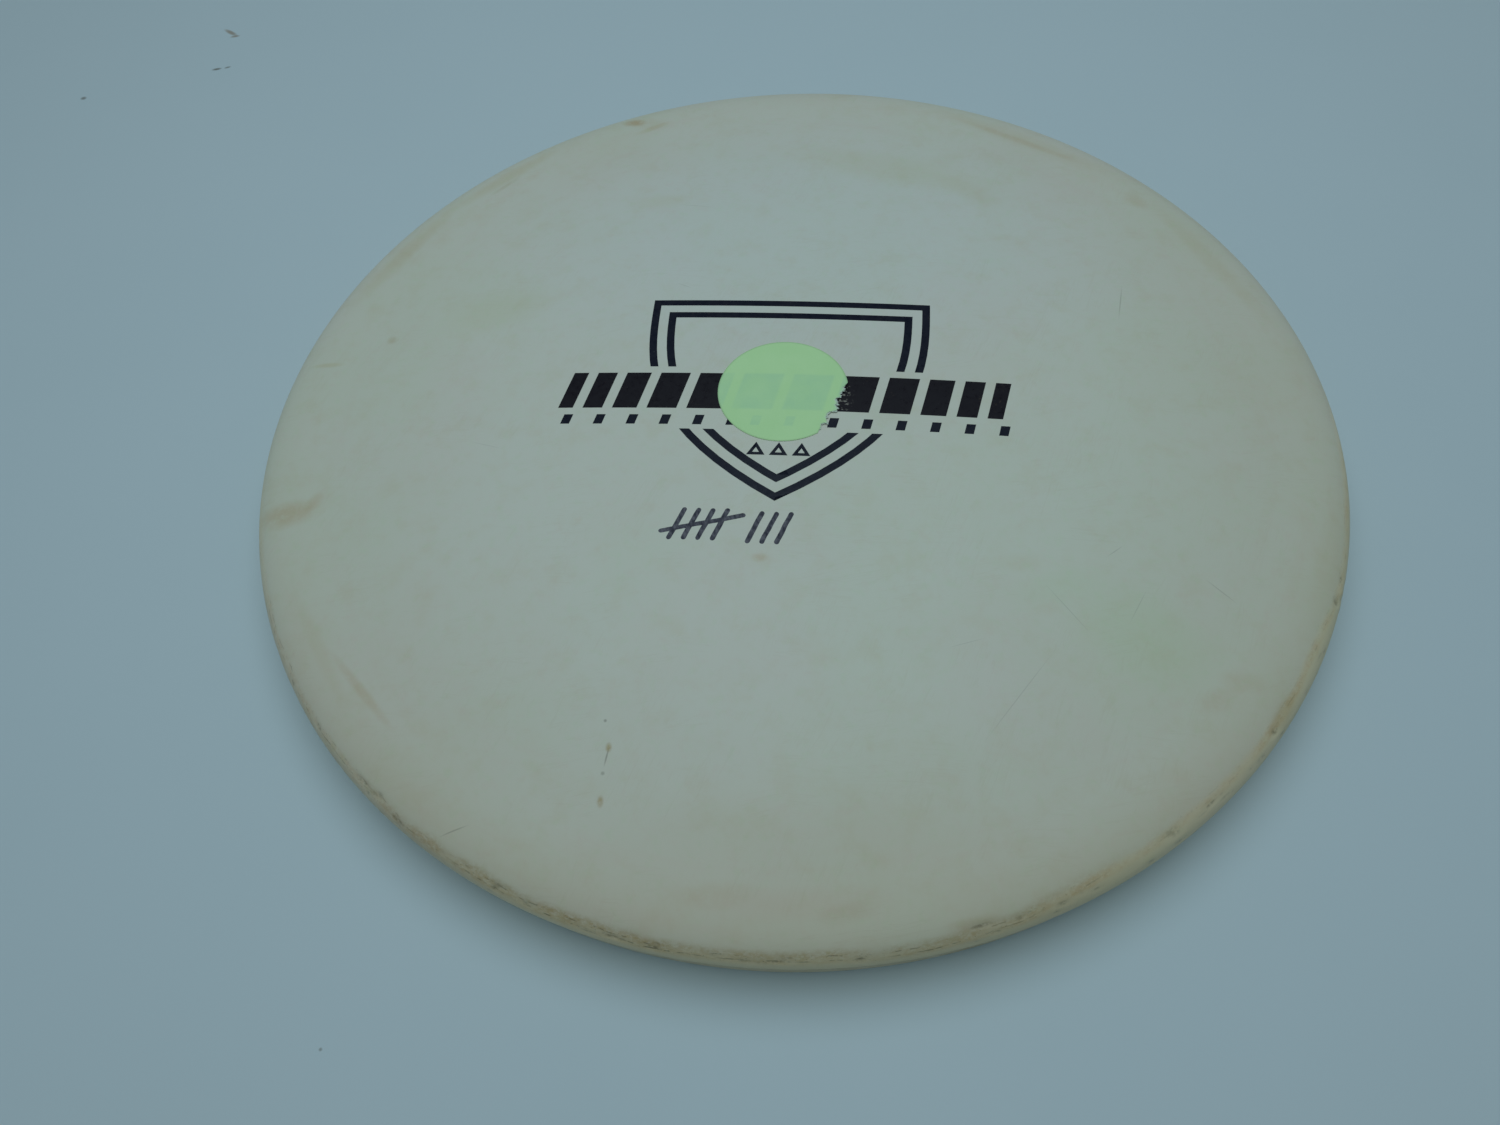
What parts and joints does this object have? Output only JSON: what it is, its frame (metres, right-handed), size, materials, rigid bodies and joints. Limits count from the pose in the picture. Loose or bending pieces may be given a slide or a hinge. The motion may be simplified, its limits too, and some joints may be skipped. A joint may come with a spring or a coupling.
{
  "type": "flying disc",
  "caption": "Round golf disc: a shallow domed flight plate on a thick beaded rim, open underneath, with a foil stamp, a torn paper dot and marker tallies.",
  "frame": {"origin": "centre of the flat ring under the rim that the disc rests on", "axes": "+Z is the disc's own axis, out of its domed top; +Y is the stamp's upward direction, but for a turn of about five degrees"},
  "size_m": [0.217, 0.217, 0.0218],
  "materials": {
    "cream_plastic": "satin moulded plastic, worn and stained at the nose",
    "black_foil": "satin black hot-stamp foil",
    "green_paper": "matt paper label, light green",
    "marker_ink": "dried marker ink"
  },
  "bodies": {
    "root": {"dot_label": "green_paper", "foil_bar_01": "black_foil", "foil_bar_02": "black_foil", "foil_bar_03": "black_foil", "foil_bar_04": "black_foil", "foil_bar_05": "black_foil", "foil_bar_06": "black_foil", "foil_bar_07": "black_foil", "foil_bar_08": "black_foil", "foil_bar_09": "black_foil", "foil_bar_10": "black_foil", "foil_bar_11": "black_foil", "foil_bar_12": "black_foil", "foil_dash_01": "black_foil", "foil_dash_02": "black_foil", "foil_dash_03": "black_foil", "foil_dash_04": "black_foil", "foil_dash_05": "black_foil", "foil_dash_06": "black_foil", "foil_dash_07": "black_foil", "foil_dash_08": "black_foil", "foil_dash_09": "black_foil", "foil_dash_10": "black_foil", "foil_dash_11": "black_foil", "foil_dash_12": "black_foil", "foil_dash_13": "black_foil", "foil_dash_14": "black_foil", "foil_shield_tip_inner": "black_foil", "foil_shield_tip_outer": "black_foil", "foil_shield_top_inner": "black_foil", "foil_shield_top_outer": "black_foil", "foil_triangle_1": "black_foil", "foil_triangle_2": "black_foil", "foil_triangle_3": "black_foil", "marker_stroke_1": "marker_ink", "marker_stroke_2": "marker_ink", "marker_stroke_3": "marker_ink", "marker_tally_five": "marker_ink", "moulded_disc": "cream_plastic"}
  },
  "joints": []
}
